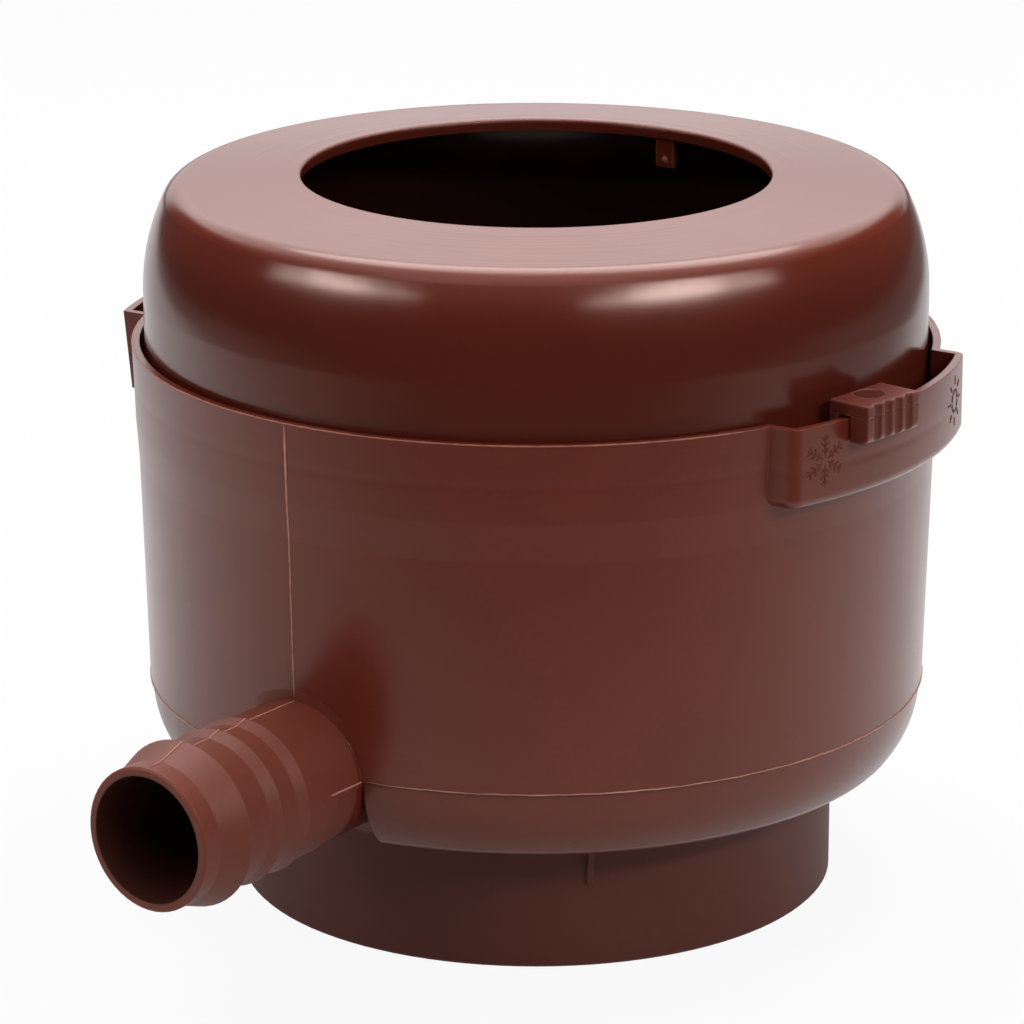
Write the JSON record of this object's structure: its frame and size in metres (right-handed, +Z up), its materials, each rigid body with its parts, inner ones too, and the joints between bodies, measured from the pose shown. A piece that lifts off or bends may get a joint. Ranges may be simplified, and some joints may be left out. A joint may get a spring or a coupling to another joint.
{
  "type": "rainwater filter",
  "caption": "Round moulded rain collector for a downpipe, with a filter funnel, a hose tail and a summer and winter lever.",
  "frame": {"origin": "middle of the foot's and the outlet spigot's lower edge, on the axis of the inlet hole", "axes": "+Z up along the pipe axis, -Y to the front that the picture looks at, +X to the right"},
  "size_m": [0.1949, 0.2187, 0.1686],
  "materials": {
    "brown_plastic": "semi-gloss",
    "sieve_plastic": "satin"
  },
  "bodies": {
    "base": {"housing": "brown_plastic", "cover": "brown_plastic", "sieve": "sieve_plastic"},
    "valve": {"selector": "brown_plastic"}
  },
  "joints": [
    {"name": "selector_turn", "type": "hinge", "parent": "base", "child": "valve", "pos_m": [0, 0, 0.06], "axis": [0, 0, 1], "range_deg": [-8, 25]}
  ]
}
